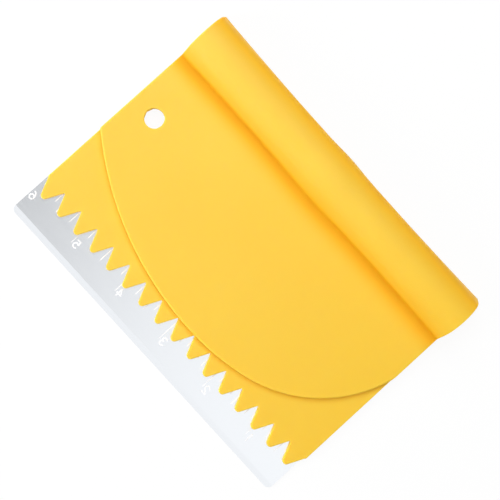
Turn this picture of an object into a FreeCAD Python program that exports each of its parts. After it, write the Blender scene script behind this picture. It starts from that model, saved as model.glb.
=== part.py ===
import FreeCAD, Part
import math
import os

import Sketcher

# A bench scraper of three nested layers, in millimetres.
# X runs along the cutting edge, Y from the cutting edge up to the handle, Z up from the table.
# The steel blade lies lowest with a hollow grip moulded along its top edge.
# The comb scraper lies on the blade, and the bowl scraper on the comb, each with its own arched
# handle shell over the one below, so that the three arches together make one roll.
# Every shape is drawn with Y = 0 at the cutting edge. The placements then bring the middle of the
# footprint to X = Y = 0.

doc = FreeCAD.newDocument("bench_scraper")

# Driving sizes: name, value, meaning
SIZES = [
    ("tool_width", 150.1, "width of the widest layer, the bowl scraper"),
    ("comb_setback", 0.15, "comb narrower than the bowl scraper, each side"),
    ("blade_setback", 0.55, "blade narrower than the bowl scraper, each side"),
    ("blade_shift", 0.35, "blade sits this far to the left under the other layers"),
    ("blade_thick", 0.8, "steel sheet"),
    ("wall", 1.6, "moulded wall of both plastic scrapers"),
    ("nest_gap", 0.15, "clearance between nested layers"),
    ("hole_diameter", 8.0, "hang hole through all layers"),
    ("hole_from_side", 11.3, "hang hole centre from the left side of the bowl scraper"),
    ("hole_from_edge", 64.7, "hang hole centre from the cutting edge"),
    ("corner_radius", 2.3, "lower corners of the blade"),
    ("bevel_width", 2.4, "ground strip along the cutting edge"),
    ("bevel_drop", 0.5, "steel ground away at the cutting edge"),
    ("tip_height", 11.65, "comb tooth tips above the cutting edge"),
    ("tooth_depth", 8.2, "from tooth tip to notch root"),
    ("tooth_count", 16, "teeth across the comb"),
    ("tip_radius", 1.45, "round end of a tooth"),
    ("root_radius", 0.4, "round root of a notch"),
    ("tooth_band", 3.0, "strip above the roots that carries the teeth"),
    ("curve_low_height", 19.55, "lowest point of the bowl edge above the cutting edge"),
    ("curve_low_offset", 6.2, "lowest point of the bowl edge, right of the middle"),
    ("curve_left_height", 46.6, "where the bowl edge meets the left side"),
    ("curve_right_height", 66.0, "where the bowl edge meets the right side"),
    ("curve_right_radius", 105.0, "bowl edge right of its lowest point"),
    ("curve_turn", 29.0, "from the lowest point to where the bowl edge tightens"),
    ("edge_round", 0.6, "rounded upper rim of the bowl edge"),
    ("arch_tongue", 4.4, "flat strip moulded in one with each arch"),
    ("crest_line", 100.9, "axis of the roll above the cutting edge"),
    ("crest_radius", 10.1, "outer radius over the crest"),
    ("crest_height", 15.2, "top of the roll above the table"),
    ("crest_scoop", 0.5, "roll lower in the finger scoops"),
    ("crease_reach", 11.15, "front crease from the roll's axis, in the finger scoops"),
    ("crease_peak", 0.85, "crease further out at the middle peak"),
    ("crease_peak_reach", 18.8, "half length of the middle peak at the crease"),
    ("crease_flare", 0.55, "crease further out at both ends"),
    ("rim_reach", 10.85, "back rim from the roll's axis, in the finger scoops"),
    ("rim_peak", 0.55, "rim further out at the middle peak"),
    ("rim_peak_reach", 9.0, "half length of the middle peak at the rim"),
    ("rim_flare", 1.0, "rim further out at both ends"),
    ("grip_wall", 3.0, "wall of the grip on the blade"),
    ("heel_width", 1.5, "grip heel behind the blade's top edge"),
    ("anchor_diameter", 2.8, "anchor holes along the blade's top edge"),
    ("anchor_inset", 2.1, "anchor holes below the blade's top edge"),
    ("anchor_margin", 8.5, "outermost anchor holes from the sides of the blade"),
    ("anchor_count", 7, "anchor holes along the blade"),
    ("mould_gap", 0.03, "clearance of the moulded pegs in the anchor holes"),
    ("peg_root", 0.5, "pegs run this far into the grip"),
]

# Sizes that follow from the driving ones
DERIVED = [
    ("bowl_half", "=tool_width / 2"),
    ("comb_half", "=tool_width / 2 - comb_setback"),
    ("blade_half", "=tool_width / 2 - blade_setback"),
    ("comb_back", "=blade_thick + nest_gap"),
    ("comb_top", "=comb_back + wall"),
    ("bowl_back", "=comb_top + nest_gap"),
    ("bowl_top", "=bowl_back + wall"),
    ("comb_outer", "=wall + nest_gap"),
    ("comb_inner", "=comb_outer + wall"),
    ("grip_outer", "=comb_inner + nest_gap"),
    ("grip_inner", "=grip_outer + grip_wall"),
    ("bowl_crest", "=crest_radius"),
    ("bowl_hollow", "=crest_radius - wall"),
    ("comb_crest", "=crest_radius - comb_outer"),
    ("comb_hollow", "=crest_radius - comb_inner"),
    ("grip_crest", "=crest_radius - grip_outer"),
    ("grip_hollow", "=crest_radius - grip_inner"),
    ("plate_end", "=crest_line - crease_reach - crease_peak - arch_tongue"),
    ("total_reach", "=crest_line + rim_reach + rim_flare"),
    ("hole_x", "=hole_from_side - bowl_half"),
    ("tooth_pitch", "=2 * comb_half / tooth_count"),
    ("root_height", "=tip_height + tooth_depth"),
    ("blade_top", "=crest_line - grip_hollow - heel_width"),
    ("first_anchor", "=anchor_margin - blade_half"),
    ("anchor_height", "=blade_top - anchor_inset"),
]

# The roll has a cross section at its middle and this many, evenly spaced, on each side
SECTIONS_PER_SIDE = 8

# How the rim and the crease draw in from the ends: a slow curve and a late one
RIM_FLARE_POWER = 2.5
CREASE_FLARE_POWER = 6


def fill_sheet():
    """Write driving sizes, derived sizes and the roll's cross sections as named cells."""
    rows = [(name, str(value), meaning) for name, value, meaning in SIZES]
    rows += [(name, formula, "derived") for name, formula in DERIVED]
    for index in range(SECTIONS_PER_SIDE + 1):
        rows += station_rows(index, index / SECTIONS_PER_SIDE)
    for row, (name, content, meaning) in enumerate(rows, start=1):
        sheet.set(f"A{row}", name)
        sheet.set(f"B{row}", content)
        sheet.set(f"C{row}", meaning)
        sheet.setAlias(f"B{row}", name)
    doc.recompute()


def station_rows(index, share):
    """Reach of crease and rim, and height of the axis, at one cross section, with its flanks' lean.

    A bump falls off like a bell around the middle, and an end term grows towards the roll's ends.
    A flank leaves the crest arc where it touches it: the angle from the axis to the flank's foot,
    less the angle whose cosine is the radius over that distance, gives its lean in degrees.
    """
    along, crease, rim, axis = (f"{name}_{index}" for name in ("share", "crease", "rim", "axis"))
    crease_bump = f"exp(-pow({along} * bowl_half / crease_peak_reach; 2))"
    rim_bump = f"exp(-pow({along} * bowl_half / rim_peak_reach; 2))"
    rim_end = f"pow({along}; {RIM_FLARE_POWER})"
    crease_end = f"pow({along}; {CREASE_FLARE_POWER})"
    return [
        (along, str(share), "share of the half length"),
        (crease, f"=crease_reach + crease_peak * {crease_bump} + crease_flare * {crease_end}", "crease"),
        (rim, f"=rim_reach + rim_peak * {rim_bump} + rim_flare * {rim_end}", "back rim"),
        (axis, f"=crest_height - crest_radius - crest_scoop * (1 - {rim_bump} - {rim_end})", "axis"),
        (f"front_lean_{index}", lean_formula(crease, f"{axis} - bowl_top"), "front flank from upright"),
        (f"back_lean_{index}", lean_formula(rim, axis), "back flank from upright"),
    ]


def lean_formula(across, up):
    """Lean of the flank whose foot lies this far across from the roll's axis and this far below it."""
    return f"=(acos(crest_radius / hypot({across}; {up})) - atan2({up}; {across})) / 1 deg"


sheet = doc.addObject("Spreadsheet::Sheet", "dim")
fill_sheet()


def amount(formula):
    """The number that a formula on the sheet comes to."""
    value = sheet.evalExpression(formula)
    return float(getattr(value, "Value", value))


def add_body(name, shift_x=None):
    """A body drawn with Y = 0 at the cutting edge and its own X = 0 at shift_x from the middle."""
    body = doc.addObject("PartDesign::Body", name)
    body.Label = name
    if shift_x:
        body.setExpression("Placement.Base.x", shift_x)
    body.setExpression("Placement.Base.y", "-dim.total_reach / 2")
    return body


def add_sketch(body, name, role, height=None):
    """A sketch on one of the body's own origin planes, or lifted off it by a formula."""
    sketch = body.newObject("Sketcher::SketchObject", name)
    plane = next(feature for feature in body.Origin.OriginFeatures if feature.Role == role)
    sketch.AttachmentSupport = [(plane, "")]
    sketch.MapMode = "FlatFace"
    if height:
        sketch.setExpression("AttachmentOffset.Base.z", height)
    return sketch


def bind(sketch, kind, *where, formula):
    """Add a dimension and tie it to a formula; angles are written in degrees."""
    value = amount(formula)
    if kind == "Angle":
        value = math.radians(value)
    index = sketch.addConstraint(Sketcher.Constraint(kind, *where, value))
    sketch.setExpression(f"Constraints[{index}]", formula + (" * 1 deg" if kind == "Angle" else ""))


def place_x(sketch, shape, point, formula):
    bind(sketch, "DistanceX", -1, 1, shape, point, formula=formula)


def place_y(sketch, shape, point, formula):
    bind(sketch, "DistanceY", -1, 1, shape, point, formula=formula)


def rule(sketch, kind, *shapes):
    """Give each listed shape the same rule, such as Horizontal or Vertical."""
    for shape in shapes:
        sketch.addConstraint(Sketcher.Constraint(kind, shape))


def join(sketch, kind, *ends):
    """Join pairs of ends, each pair as (shape, point, shape, point)."""
    for pair in ends:
        sketch.addConstraint(Sketcher.Constraint(kind, *pair))


def line(sketch, start, end):
    return sketch.addGeometry(Part.LineSegment(FreeCAD.Vector(*start, 0), FreeCAD.Vector(*end, 0)))


def arc(sketch, centre, radius, start_degrees, end_degrees):
    """An arc that runs anticlockwise from its first point to its second."""
    circle = Part.Circle(FreeCAD.Vector(*centre, 0), FreeCAD.Vector(0, 0, 1), radius)
    start, end = math.radians(start_degrees), math.radians(end_degrees)
    return sketch.addGeometry(Part.ArcOfCircle(circle, start, end))


def polar(centre, radius, degrees):
    turn = math.radians(degrees)
    return (centre[0] + radius * math.cos(turn), centre[1] + radius * math.sin(turn))


# Points of a sketch shape, as constraints number them
START, END, CENTRE = range(1, 4)

# An edge lies on a face if its ends are this close to it
FLATNESS = 1e-4


def add_pad(body, name, sketch, length):
    pad = body.newObject("PartDesign::Pad", name)
    pad.Profile = sketch
    pad.setExpression("Length", length)
    doc.recompute()
    return pad


def add_pocket(body, name, sketch, side_type, kind, length=None):
    """Cut a sketch out of the body, and make sure that the cut took something away."""
    before = body.Shape.Volume
    pocket = body.newObject("PartDesign::Pocket", name)
    pocket.Profile = sketch
    pocket.SideType = side_type
    pocket.Type = kind
    if length:
        pocket.setExpression("Length", length)
    doc.recompute()
    if body.Shape.Volume >= before:
        raise RuntimeError(f"{name} cuts nothing")
    return pocket


def add_row(body, name, feature, sketch, length, count):
    """Repeat a feature along X; length is the distance from the first copy to the last."""
    row = body.newObject("PartDesign::LinearPattern", name)
    row.Originals = [feature]
    row.Direction = (sketch, ["H_Axis"])
    row.setExpression("Length", length)
    row.setExpression("Occurrences", count)
    body.Tip = row
    doc.recompute()
    return row


def draw_circle(sketch, centre_x, centre_y, radius):
    """A circle whose centre and radius are formulas."""
    centre = FreeCAD.Vector(amount(centre_x), amount(centre_y), 0)
    circle = sketch.addGeometry(Part.Circle(centre, FreeCAD.Vector(0, 0, 1), amount(radius)))
    place_x(sketch, circle, CENTRE, centre_x)
    place_y(sketch, circle, CENTRE, centre_y)
    bind(sketch, "Radius", circle, formula=radius)


def cut_hang_hole(body, hole_x, top):
    """Cut the hang hole down from a layer's front face."""
    sketch = add_sketch(body, f"{body.Name}_hole_sketch", "XY_Plane", top)
    draw_circle(sketch, hole_x, "dim.hole_from_edge", "dim.hole_diameter / 2")
    add_pocket(body, f"{body.Name}_hang_hole", sketch, "One side", "ThroughAll")


# The roll: each layer's arch is a loft through cross sections from left to right
# The loft is ruled from each section to the next, so its walls never swing wide between them


def flank(sketch, centre, radius, lean, foot_height, side):
    """A straight flank from its foot up to where it touches the crest arc.

    side is -1 for the front flank and +1 for the back one; lean is measured from upright.
    """
    touch_degrees = lean if side > 0 else 180 - lean
    touch = polar(centre, radius, touch_degrees)
    run = (touch[1] - foot_height) * math.tan(math.radians(lean))
    return line(sketch, (touch[0] + side * run, foot_height), touch)


def arch_outline(sketch, station, layer, wall_face, front_foot):
    """Front flank, crest arc and back flank of one face of a layer's arch."""
    centre = (amount("dim.crest_line"), amount(f"dim.axis_{station}"))
    radius = amount(f"dim.{layer}_{wall_face}")
    front_lean = amount(f"dim.front_lean_{station}")
    back_lean = amount(f"dim.back_lean_{station}")
    front = flank(sketch, centre, radius, front_lean, amount(front_foot), -1)
    crest = arc(sketch, centre, radius, back_lean, 180 - front_lean)
    back = flank(sketch, centre, radius, back_lean, 0, 1)
    join(sketch, "Tangent", (front, END, crest, END), (back, END, crest, START))
    bind(sketch, "Radius", crest, formula=f"dim.{layer}_{wall_face}")
    place_x(sketch, crest, CENTRE, "dim.crest_line")
    place_y(sketch, crest, CENTRE, f"dim.axis_{station}")
    bind(sketch, "Angle", front, formula=f"(90 - dim.front_lean_{station})")
    bind(sketch, "Angle", back, formula=f"(90 + dim.back_lean_{station})")
    place_y(sketch, front, START, front_foot)
    sketch.addConstraint(Sketcher.Constraint("PointOnObject", back, START, -1))
    return front, back


def foot_point(sketch, shape):
    point = sketch.Geometry[shape].StartPoint
    return (point.x, point.y)


def scraper_section(sketch, station, layer):
    """Cross section of a plastic scraper: flat tongue, then the arched wall down to the back rim."""
    top, back, end = f"dim.{layer}_top", f"dim.{layer}_back", "dim.plate_end"
    front_out, back_out = arch_outline(sketch, station, layer, "crest", top)
    front_in, back_in = arch_outline(sketch, station, layer, "hollow", back)
    upper = line(sketch, (amount(end), amount(top)), foot_point(sketch, front_out))
    rim = line(sketch, foot_point(sketch, back_out), foot_point(sketch, back_in))
    lower = line(sketch, foot_point(sketch, front_in), (amount(end), amount(back)))
    tongue_end = line(sketch, (amount(end), amount(back)), (amount(end), amount(top)))
    join(
        sketch, "Coincident",
        (upper, END, front_out, START), (back_out, START, rim, START), (rim, END, back_in, START),
        (front_in, START, lower, START), (lower, END, tongue_end, START), (tongue_end, END, upper, START),
    )
    rule(sketch, "Horizontal", upper, lower)
    rule(sketch, "Vertical", tongue_end)
    place_x(sketch, tongue_end, START, end)


def grip_section(sketch, station, layer):
    """Cross section of the grip: its foot on the blade, a heel behind it, and the hollow."""
    thick, tang = "dim.blade_thick", "dim.blade_top"
    front_out, back_out = arch_outline(sketch, station, layer, "crest", thick)
    centre = (amount("dim.crest_line"), amount(f"dim.axis_{station}"))
    radius = amount("dim.grip_hollow")
    lean = amount(f"dim.back_lean_{station}")
    hollow = arc(sketch, centre, radius, lean, 180)
    back_in = flank(sketch, centre, radius, lean, 0, 1)
    inner_wall = line(sketch, (centre[0] - radius, centre[1]), (centre[0] - radius, 0))
    rim = line(sketch, foot_point(sketch, back_out), foot_point(sketch, back_in))
    heel = line(sketch, (centre[0] - radius, 0), (amount(tang), 0))
    step = line(sketch, (amount(tang), 0), (amount(tang), amount(thick)))
    seat = line(sketch, (amount(tang), amount(thick)), foot_point(sketch, front_out))
    join(sketch, "Tangent", (back_in, END, hollow, START), (hollow, END, inner_wall, START))
    join(
        sketch, "Coincident",
        (back_out, START, rim, START), (rim, END, back_in, START), (inner_wall, END, heel, START),
        (heel, END, step, START), (step, END, seat, START), (seat, END, front_out, START),
    )
    bind(sketch, "Radius", hollow, formula="dim.grip_hollow")
    place_x(sketch, hollow, CENTRE, "dim.crest_line")
    place_y(sketch, hollow, CENTRE, f"dim.axis_{station}")
    bind(sketch, "Angle", back_in, formula=f"(90 + dim.back_lean_{station})")
    rule(sketch, "Horizontal", rim, heel, seat)
    rule(sketch, "Vertical", inner_wall, step)
    sketch.addConstraint(Sketcher.Constraint("PointOnObject", heel, START, -1))
    place_x(sketch, step, START, tang)


def add_arch(body, layer, half, draw_section):
    """Loft one layer's arch through its cross sections, left end first."""
    sketches = []
    for step in range(-SECTIONS_PER_SIDE, SECTIONS_PER_SIDE + 1):
        station = abs(step)
        sign = "-" if step < 0 else ""
        name = f"{layer}_section_{step + SECTIONS_PER_SIDE}"
        sketch = add_sketch(body, name, "YZ_Plane", f"{sign}dim.{half} * dim.share_{station}")
        draw_section(sketch, station, layer)
        sketches.append(sketch)
    loft = body.newObject("PartDesign::AdditiveLoft", f"{layer}_arch")
    loft.Profile = sketches[0]
    loft.Sections = sketches[1:]
    loft.Ruled = True
    doc.recompute()
    return loft


# The bowl scraper: a plate with one long curved edge under the front arch


def draw_bowl_plate(body):
    sketch = add_sketch(body, "bowl_plate_sketch", "XY_Plane", "dim.bowl_back")
    half, end_y = amount("dim.bowl_half"), amount("dim.plate_end")
    low_x, low_y = amount("dim.curve_low_offset"), amount("dim.curve_low_height")
    left_y, right_y = amount("dim.curve_left_height"), amount("dim.curve_right_height")
    right_radius = amount("dim.curve_right_radius")

    # Left arc: level at the low point and through the left side
    run, rise = low_x + half, left_y - low_y
    left_radius = (run ** 2 + rise ** 2) / (2 * rise)
    left_turn = math.degrees(math.asin(run / left_radius))
    # Right arcs: the second leaves the first at the turn and ends on the right side
    turn = math.degrees(math.asin(amount("dim.curve_turn") / right_radius))
    turn_point = polar((low_x, low_y + right_radius), right_radius, 270 + turn)
    inward = (-math.sin(math.radians(turn)), math.cos(math.radians(turn)))
    chord = (half - turn_point[0], right_y - turn_point[1])
    end_radius = (chord[0] ** 2 + chord[1] ** 2) / (2 * (chord[0] * inward[0] + chord[1] * inward[1]))
    end_centre = (turn_point[0] + end_radius * inward[0], turn_point[1] + end_radius * inward[1])
    end_angle = math.degrees(math.atan2(right_y - end_centre[1], half - end_centre[0]))

    top = line(sketch, (half, end_y), (-half, end_y))
    left = line(sketch, (-half, end_y), (-half, left_y))
    left_arc = arc(sketch, (low_x, low_y + left_radius), left_radius, 270 - left_turn, 270)
    right_arc = arc(sketch, (low_x, low_y + right_radius), right_radius, 270, 270 + turn)
    end_arc = arc(sketch, end_centre, end_radius, 270 + turn, 360 + end_angle)
    right = line(sketch, (half, right_y), (half, end_y))
    join(sketch, "Tangent", (left_arc, END, right_arc, START), (right_arc, END, end_arc, START))
    join(
        sketch, "Coincident",
        (top, END, left, START), (left, END, left_arc, START), (end_arc, END, right, START),
        (right, END, top, START),
    )
    rule(sketch, "Horizontal", top)
    rule(sketch, "Vertical", left, right)
    sketch.addConstraint(Sketcher.Constraint("Vertical", left_arc, CENTRE, left_arc, END))
    place_x(sketch, left_arc, END, "dim.curve_low_offset")
    place_y(sketch, left_arc, END, "dim.curve_low_height")
    place_y(sketch, left, END, "dim.curve_left_height")
    place_x(sketch, left, START, "-dim.bowl_half")
    place_y(sketch, left, START, "dim.plate_end")
    bind(sketch, "Radius", right_arc, formula="dim.curve_right_radius")
    place_x(sketch, right_arc, END, "(dim.curve_low_offset + dim.curve_turn)")
    place_y(sketch, right, START, "dim.curve_right_height")
    place_x(sketch, right, START, "dim.bowl_half")
    return sketch


def round_bowl_edge(body):
    """Round the upper rim of the curved edge: the open arcs on the plate's front face."""
    plate = body.Tip
    names = []
    for number, edge in enumerate(plate.Shape.Edges, start=1):
        on_front = all(abs(vertex.Z - amount("dim.bowl_top")) < FLATNESS for vertex in edge.Vertexes)
        if on_front and isinstance(edge.Curve, Part.Circle) and not edge.isClosed():
            names.append(f"Edge{number}")
    fillet = body.newObject("PartDesign::Fillet", "bowl_edge_round")
    fillet.Base = (plate, names)
    fillet.setExpression("Radius", "dim.edge_round")
    doc.recompute()


def build_bowl_scraper():
    body = add_body("bowl_scraper")
    add_pad(body, "bowl_plate", draw_bowl_plate(body), "dim.wall")
    round_bowl_edge(body)
    add_arch(body, "bowl", "bowl_half", scraper_section)
    cut_hang_hole(body, "dim.hole_x", "dim.bowl_top")
    return body


# The comb scraper: a plate with a row of round-tipped teeth


def draw_polygon(sketch, corners):
    """Straight sides from corner to corner, closed, each one starting at its own corner."""
    following = corners[1:] + corners[:1]
    sides = [line(sketch, corner, next_corner) for corner, next_corner in zip(corners, following)]
    pairs = zip(sides, sides[1:] + sides[:1])
    join(sketch, "Coincident", *[(side, END, next_side, START) for side, next_side in pairs])
    return sides


def draw_rectangle(sketch, left, right, low, high):
    """A rectangle between four formulas."""
    left_x, right_x, low_y, high_y = (amount(formula) for formula in (left, right, low, high))
    sides = draw_polygon(sketch, [(left_x, low_y), (right_x, low_y), (right_x, high_y), (left_x, high_y)])
    rule(sketch, "Horizontal", sides[0], sides[2])
    rule(sketch, "Vertical", sides[1], sides[3])
    place_x(sketch, sides[0], START, left)
    place_y(sketch, sides[0], START, low)
    place_x(sketch, sides[2], START, right)
    place_y(sketch, sides[2], START, high)


def draw_tooth(body):
    """The leftmost tooth with half a notch on each side, hung from a strip of the plate."""
    sketch = add_sketch(body, "comb_tooth_sketch", "XY_Plane", "dim.comb_back")
    pitch, root_y = amount("dim.tooth_pitch"), amount("dim.root_height")
    tip_radius, root_radius = amount("dim.tip_radius"), amount("dim.root_radius")
    left = -amount("dim.comb_half")
    base_y = root_y + amount("dim.tooth_band")
    tip = (left + pitch / 2, amount("dim.tip_height") + tip_radius)
    left_root, right_root = (left, root_y - root_radius), (left + pitch, root_y - root_radius)
    # The flank is the line that crosses between the tip circle and the root circle
    across, up = pitch / 2, left_root[1] - tip[1]
    crossing = math.asin((tip_radius + root_radius) / math.hypot(across, up))
    lean = math.degrees(math.atan2(across, up) - crossing)

    left_side = line(sketch, (left, base_y), (left, root_y))
    left_notch = arc(sketch, left_root, root_radius, lean, 90)
    left_flank = line(sketch, polar(left_root, root_radius, lean), polar(tip, tip_radius, 180 + lean))
    tip_arc = arc(sketch, tip, tip_radius, 180 + lean, 360 - lean)
    right_flank = line(sketch, polar(tip, tip_radius, -lean), polar(right_root, root_radius, 180 - lean))
    right_notch = arc(sketch, right_root, root_radius, 90, 180 - lean)
    right_side = line(sketch, (left + pitch, root_y), (left + pitch, base_y))
    base = line(sketch, (left + pitch, base_y), (left, base_y))
    join(
        sketch, "Tangent",
        (left_notch, START, left_flank, START), (left_flank, END, tip_arc, START),
        (tip_arc, END, right_flank, START), (right_flank, END, right_notch, END),
    )
    join(
        sketch, "Coincident",
        (left_side, END, left_notch, END), (right_notch, START, right_side, START),
        (right_side, END, base, START), (base, END, left_side, START),
    )
    rule(sketch, "Vertical", left_side, right_side)
    rule(sketch, "Horizontal", base)
    join(
        sketch, "Vertical",
        (left_notch, CENTRE, left_notch, END), (right_notch, CENTRE, right_notch, START),
    )
    bind(sketch, "Radius", left_notch, formula="dim.root_radius")
    bind(sketch, "Radius", right_notch, formula="dim.root_radius")
    bind(sketch, "Radius", tip_arc, formula="dim.tip_radius")
    place_x(sketch, tip_arc, CENTRE, "(dim.tooth_pitch / 2 - dim.comb_half)")
    place_y(sketch, tip_arc, CENTRE, "(dim.tip_height + dim.tip_radius)")
    place_x(sketch, left_side, END, "-dim.comb_half")
    place_y(sketch, left_side, END, "dim.root_height")
    place_x(sketch, right_side, START, "(dim.tooth_pitch - dim.comb_half)")
    place_y(sketch, right_side, START, "dim.root_height")
    place_y(sketch, right_side, END, "(dim.root_height + dim.tooth_band)")
    return sketch


def build_comb_scraper():
    # The comb is pushed against the right-hand end of the bowl scraper
    body = add_body("comb_scraper", "dim.comb_setback")
    plate = add_sketch(body, "comb_plate_sketch", "XY_Plane", "dim.comb_back")
    tooth_base = "(dim.root_height + dim.tooth_band)"
    draw_rectangle(plate, "-dim.comb_half", "dim.comb_half", tooth_base, "dim.plate_end")
    add_pad(body, "comb_plate", plate, "dim.wall")
    tooth_sketch = draw_tooth(body)
    tooth = add_pad(body, "comb_tooth", tooth_sketch, "dim.wall")
    row_length = "dim.tooth_pitch * (dim.tooth_count - 1)"
    add_row(body, "comb_teeth", tooth, tooth_sketch, row_length, "dim.tooth_count")
    add_arch(body, "comb", "comb_half", scraper_section)
    cut_hang_hole(body, "(dim.hole_x - dim.comb_setback)", "dim.comb_top")
    return body


# The blade: a steel sheet with a ground edge, two round corners and a row of anchor holes


def draw_blade_sheet(body):
    sketch = add_sketch(body, "blade_sheet_sketch", "XY_Plane")
    half, top, radius = amount("dim.blade_half"), amount("dim.blade_top"), amount("dim.corner_radius")
    bottom = line(sketch, (radius - half, 0), (half - radius, 0))
    right_corner = arc(sketch, (half - radius, radius), radius, 270, 360)
    right = line(sketch, (half, radius), (half, top))
    upper = line(sketch, (half, top), (-half, top))
    left = line(sketch, (-half, top), (-half, radius))
    left_corner = arc(sketch, (radius - half, radius), radius, 180, 270)
    join(
        sketch, "Tangent",
        (bottom, END, right_corner, START), (right_corner, END, right, START),
        (left, END, left_corner, START), (left_corner, END, bottom, START),
    )
    join(sketch, "Coincident", (right, END, upper, START), (upper, END, left, START))
    rule(sketch, "Vertical", left, right)
    rule(sketch, "Horizontal", upper)
    sketch.addConstraint(Sketcher.Constraint("PointOnObject", bottom, START, -1))
    sketch.addConstraint(Sketcher.Constraint("PointOnObject", bottom, END, -1))
    bind(sketch, "Radius", left_corner, formula="dim.corner_radius")
    bind(sketch, "Radius", right_corner, formula="dim.corner_radius")
    place_x(sketch, upper, END, "-dim.blade_half")
    place_x(sketch, upper, START, "dim.blade_half")
    place_y(sketch, upper, START, "dim.blade_top")
    return sketch


def grind_edge(body):
    """Take a long thin wedge off the front face, from the bevel's inner line out past the edge."""
    sketch = add_sketch(body, "blade_bevel_sketch", "YZ_Plane")
    inner = ("dim.bevel_width", "dim.blade_thick")
    outer_low = ("-dim.bevel_width", "(dim.blade_thick - 2 * dim.bevel_drop)")
    outer_high = ("-dim.bevel_width", "dim.blade_thick")
    corners = [inner, outer_low, outer_high]
    sides = draw_polygon(sketch, [(amount(across), amount(up)) for across, up in corners])
    for side, (across, up) in zip(sides, corners):
        place_x(sketch, side, START, across)
        place_y(sketch, side, START, up)
    add_pocket(body, "blade_bevel", sketch, "Symmetric", "Length", "2 * dim.tool_width")


def draw_anchor(body, name, radius, height=None):
    """The leftmost anchor circle, for a hole in the blade or a peg of the grip."""
    sketch = add_sketch(body, name, "XY_Plane", height)
    draw_circle(sketch, "dim.first_anchor", "dim.anchor_height", radius)
    return sketch


def build_blade():
    body = add_body("blade", "-dim.blade_shift")
    add_pad(body, "blade_sheet", draw_blade_sheet(body), "dim.blade_thick")
    grind_edge(body)
    sketch = draw_anchor(body, "blade_anchor_sketch", "dim.anchor_diameter / 2", "dim.blade_thick")
    hole = add_pocket(body, "blade_anchor", sketch, "One side", "ThroughAll")
    add_row(body, "blade_anchors", hole, sketch, "-2 * dim.first_anchor", "dim.anchor_count")
    cut_hang_hole(body, "(dim.hole_x + dim.blade_shift)", "dim.blade_thick")
    return body


# The grip moulded on the blade: a hollow arch with pegs that fill the anchor holes


def build_blade_handle():
    body = add_body("blade_handle", "-dim.blade_shift")
    add_arch(body, "grip", "blade_half", grip_section)
    sketch = draw_anchor(body, "grip_peg_sketch", "(dim.anchor_diameter / 2 - dim.mould_gap)")
    peg = add_pad(body, "grip_peg", sketch, "dim.blade_thick + dim.peg_root")
    add_row(body, "grip_pegs", peg, sketch, "-2 * dim.first_anchor", "dim.anchor_count")
    return body


def check_document():
    """Stop if any object failed to build."""
    for item in doc.Objects:
        if "Invalid" in item.State or "Error" in item.State:
            raise RuntimeError(f"{item.Name} failed: {item.State}")


def write_part(body):
    shape = body.Shape
    if shape.isNull() or not shape.isValid() or len(shape.Solids) != 1:
        raise RuntimeError(f"{body.Label} is not one valid solid")
    shape.exportStep(f"parts/{body.Label}.step")
    box = shape.optimalBoundingBox()
    spans = [f"{low:.2f} to {high:.2f}" for low, high in
             ((box.XMin, box.XMax), (box.YMin, box.YMax), (box.ZMin, box.ZMax))]
    print(f"{body.Label}: {shape.Volume:.1f} cubic mm, {len(shape.Faces)} faces, X Y Z {spans}")


bodies = [build_bowl_scraper(), build_comb_scraper(), build_blade(), build_blade_handle()]
doc.recompute()
check_document()
os.makedirs("parts", exist_ok=True)
for finished in bodies:
    write_part(finished)
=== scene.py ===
# %% [markdown]
# # A nested bench scraper
# Four pieces lie stacked on a white table: a steel blade, the yellow grip moulded on its top edge,
# a yellow comb scraper with sixteen teeth, and a yellow bowl scraper with one long curved edge.
# Each plastic piece ends in an arch, and the arches sit inside each other as one handle roll.
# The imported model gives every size, so the first step is to load it.

import math

import bmesh
import bpy
import numpy as np
from mathutils import Matrix


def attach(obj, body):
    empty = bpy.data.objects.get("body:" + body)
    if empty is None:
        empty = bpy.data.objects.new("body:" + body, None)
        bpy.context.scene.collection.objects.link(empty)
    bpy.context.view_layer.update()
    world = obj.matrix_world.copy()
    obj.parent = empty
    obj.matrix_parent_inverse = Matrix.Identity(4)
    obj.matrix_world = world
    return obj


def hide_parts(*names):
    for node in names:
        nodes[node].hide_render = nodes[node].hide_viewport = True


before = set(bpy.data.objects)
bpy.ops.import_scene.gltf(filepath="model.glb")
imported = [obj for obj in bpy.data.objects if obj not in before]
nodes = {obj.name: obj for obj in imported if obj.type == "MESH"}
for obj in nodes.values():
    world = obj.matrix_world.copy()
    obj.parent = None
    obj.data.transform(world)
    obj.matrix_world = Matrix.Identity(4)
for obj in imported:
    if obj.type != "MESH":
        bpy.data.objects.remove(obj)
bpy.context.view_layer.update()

# %% [markdown]
# ## Sizes
# All lengths are in millimetres, and heights along the tool are counted from the cutting edge,
# as one would measure the real tool with a ruler. A helper turns them into the model's metres. The
# arches of comb and grip are each a wall and a gap (1.75 mm) smaller than the next one out, and the
# grip's own wall is 3 mm.

# %% Sizes of the tool in millimetres
MM = 0.001
TOOL_HALF = 75.05
COMB_HALF, COMB_SHIFT = 74.9, 0.15
BLADE_HALF, BLADE_SHIFT = 74.5, -0.35
EDGE_Y = -56.375
BLADE_THICK, BLADE_TOP = 0.8, 95.8
COMB_BACK, COMB_TOP = 0.95, 2.55
BOWL_BACK, BOWL_TOP = 2.7, 4.3
HOLE_X, HOLE_Y, HOLE_RADIUS = -63.75, 64.7, 4.0
CREST_LINE, CREST_RADIUS, CREST_HEIGHT, CREST_SCOOP = 100.9, 10.1, 15.2, 0.5
COMB_CREST, GRIP_CREST = CREST_RADIUS - 1.75, CREST_RADIUS - 3.5
GRIP_HOLLOW = CREST_RADIUS - 6.5


def to_model(points):
    """Metres in the model's frame: millimetres plus the edge's place along Y, times 0.001."""
    return (points + np.array([0.0, EDGE_Y, 0.0])) * MM


print(f"tool {2 * TOOL_HALF:.1f} mm long, roll {CREST_HEIGHT} mm high")

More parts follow.
